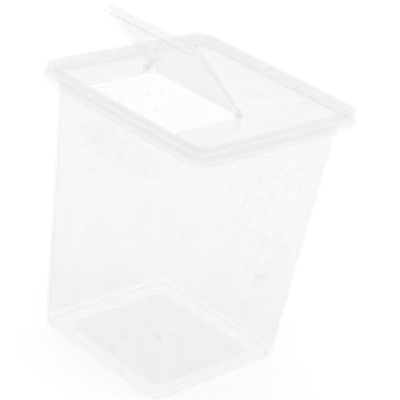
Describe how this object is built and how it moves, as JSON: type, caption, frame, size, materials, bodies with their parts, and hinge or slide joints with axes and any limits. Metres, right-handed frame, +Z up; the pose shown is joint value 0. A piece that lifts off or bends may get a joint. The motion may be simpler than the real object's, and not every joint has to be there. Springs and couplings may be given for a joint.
{
  "type": "pet food bin",
  "caption": "Tall tapered square storage tub in clear plastic with a lift-off lid and a flip-up flap hinged across the lid.",
  "frame": {"origin": "middle of the square underside, on the ground plane", "axes": "+Z up; -Y is the front, where the flap opens; +X is to the right seen from the front"},
  "size_m": [0.3246, 0.3246, 0.5039],
  "materials": {
    "tub_plastic": "natural translucent polypropylene, softly glossy",
    "lid_plastic": "natural translucent polypropylene, softly glossy",
    "flap_plastic": "natural translucent polypropylene, softly glossy"
  },
  "bodies": {
    "bin": {"bin_body": "tub_plastic"},
    "lid": {"lid_frame": "lid_plastic"},
    "flap": {"flap": "flap_plastic"}
  },
  "joints": [
    {"name": "lid_lift", "type": "slide", "parent": "bin", "child": "lid", "axis": [0, 0, 1], "range_m": [0, 0.12]},
    {"name": "flap_hinge", "type": "hinge", "parent": "lid", "child": "flap", "pos_m": [0, -0.02, 0.3955], "axis": [-1, 0, 0], "range_deg": [-46, 54]}
  ]
}
